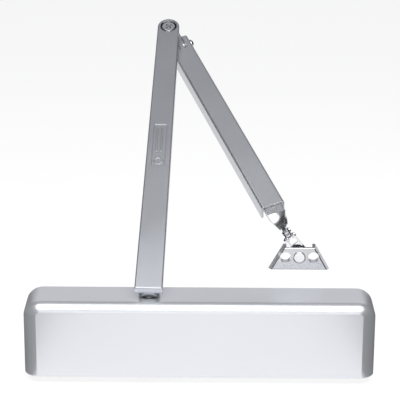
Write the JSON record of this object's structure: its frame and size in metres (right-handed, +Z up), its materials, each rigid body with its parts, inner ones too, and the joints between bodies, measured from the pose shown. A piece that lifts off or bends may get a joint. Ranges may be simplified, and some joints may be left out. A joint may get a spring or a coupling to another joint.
{
  "type": "door closer",
  "caption": "Surface-mounted rack-and-pinion door closer with a long cover, a cranked main arm, an adjustable forearm and a pivoting foot.",
  "frame": {"origin": "centre of the four mounting holes, on the flat back face of the casting", "axes": "+X along the body, away from the pinion's end; -Y straight out from the door; +Z up, along the pinion axis towards the arm"},
  "size_m": [0.314, 0.3168, 0.2645],
  "materials": {
    "cover_paint": "satin silver paint",
    "casting": "die cast, painted inside the cover",
    "machined_steel": "turned",
    "bearing_steel": "ground",
    "seal_rubber": "matte",
    "spring_steel": "oil tempered",
    "clip_steel": "zinc plated",
    "plated_screw": "bright zinc",
    "cap_plastic": "moulded",
    "arm_paint": "satin grey-silver enamel",
    "forearm_paint": "satin grey-silver enamel",
    "bright_plate": "bright nickel or zinc plate",
    "bronze": "sintered",
    "valve_brass": "turned"
  },
  "bodies": {
    "casing": {"body_casting": "casting", "left_end_plug": "machined_steel", "right_end_plug": "machined_steel", "end_plug_rings": "seal_rubber", "upper_bearing": "bearing_steel", "lower_bearing": "bearing_steel", "upper_shaft_seal": "seal_rubber", "lower_shaft_seal": "seal_rubber", "upper_bearing_cap": "machined_steel", "lower_bearing_cap": "machined_steel", "cover": "cover_paint", "left_cover_clip": "clip_steel", "right_cover_clip": "clip_steel", "cover_clip_screws": "plated_screw", "closing_spring": "spring_steel"},
    "arm": {"pinion_shaft": "machined_steel", "spindle_cap": "cap_plastic", "main_arm": "arm_paint", "hub_set_screw": "plated_screw", "elbow_screw": "plated_screw", "elbow_washer": "plated_screw", "elbow_nut": "plated_screw"},
    "piston": {"piston": "machined_steel", "piston_ring": "seal_rubber", "check_valve_seat": "machined_steel", "check_ball": "bearing_steel"},
    "spring_plate": {"spring_plate": "machined_steel"},
    "power_screw": {"power_screw": "machined_steel"},
    "sweep_valve": {"sweep_valve": "valve_brass", "sweep_valve_ring": "seal_rubber"},
    "latch_valve": {"latch_valve": "valve_brass", "latch_valve_ring": "seal_rubber"},
    "backcheck_valve": {"backcheck_valve": "valve_brass", "backcheck_valve_ring": "seal_rubber"},
    "knuckle": {"elbow_knuckle": "forearm_paint", "elbow_bush": "bronze"},
    "forearm": {"forearm_channel": "forearm_paint", "cross_bolt": "plated_screw", "cross_bolt_nut": "plated_screw", "clamp_bridge": "forearm_paint", "clamp_screw": "plated_screw"},
    "slider": {"forearm_slider": "bright_plate"},
    "link": {"link_plates": "bright_plate", "upper_foot_pin": "bright_plate", "lower_foot_pin": "bright_plate"},
    "fork": {"foot_fork": "bright_plate"},
    "foot": {"foot_plate": "bright_plate", "foot_rivet": "bright_plate"}
  },
  "joints": [
    {"name": "arm_sweep", "type": "hinge", "parent": "casing", "child": "arm", "pos_m": [-0.045, -0.0205, 0], "axis": [0, 0, 1], "range_deg": [0, 180], "stiffness_Nm_per_rad": 2, "springref_deg": -68.75},
    {"name": "piston_travel", "type": "slide", "parent": "casing", "child": "piston", "axis": [1, 0, 0], "range_m": [0, 0.02358], "deforming": ["closing_spring"]},
    {"name": "power_adjust", "type": "hinge", "parent": "casing", "child": "power_screw", "pos_m": [0.112, -0.0205, 0], "axis": [1, 0, 0], "range_deg": [-360.01, 360.01]},
    {"name": "spring_plate_travel", "type": "slide", "parent": "casing", "child": "spring_plate", "axis": [1, 0, 0], "range_m": [-0.00125, 0.00125]},
    {"name": "elbow_swing", "type": "hinge", "parent": "arm", "child": "knuckle", "pos_m": [-0.03389, 0.25487, 0.21893], "axis": [-0.0208, -0.5146, 0.8572], "range_deg": [-8, 140]},
    {"name": "forearm_pitch", "type": "hinge", "parent": "knuckle", "child": "forearm", "pos_m": [-0.02268, 0.25082, 0.19753], "axis": [0.9274, 0.3104, 0.2088], "range_deg": [0, 18]},
    {"name": "forearm_length", "type": "slide", "parent": "forearm", "child": "slider", "axis": [0.3726, -0.8167, -0.4406], "range_m": [-0.008, 0.02]},
    {"name": "upper_foot_hinge", "type": "hinge", "parent": "slider", "child": "link", "pos_m": [0.07905, 0.02687, 0.07864], "axis": [0.7636, 0, 0.6457], "range_deg": [-60, 60]},
    {"name": "lower_foot_hinge", "type": "hinge", "parent": "link", "child": "fork", "pos_m": [0.08185, 0.02074, 0.07533], "axis": [0.7636, 0, 0.6457], "range_deg": [-60, 50]},
    {"name": "foot_swivel", "type": "hinge", "parent": "fork", "child": "foot", "pos_m": [0.09068, 0.02384, 0.05792], "axis": [0, -1, 0], "range_deg": [-4, 12]},
    {"name": "sweep_valve_turn", "type": "hinge", "parent": "casing", "child": "sweep_valve", "pos_m": [-0.099, -0.0205, -0.028], "axis": [0, 0, 1], "range_deg": [-180, 180]},
    {"name": "latch_valve_turn", "type": "hinge", "parent": "casing", "child": "latch_valve", "pos_m": [-0.085, -0.0205, -0.028], "axis": [0, 0, 1], "range_deg": [-180, 180]},
    {"name": "backcheck_valve_turn", "type": "hinge", "parent": "casing", "child": "backcheck_valve", "pos_m": [-0.071, -0.0205, -0.028], "axis": [0, 0, 1], "range_deg": [-180, 180]}
  ],
  "couplings": [
    {"joint": "piston_travel", "follows": "arm_sweep", "m_per_rad": 0.0075},
    {"joint": "power_adjust", "follows": "spring_plate_travel", "rad_per_m": 5026.5}
  ]
}
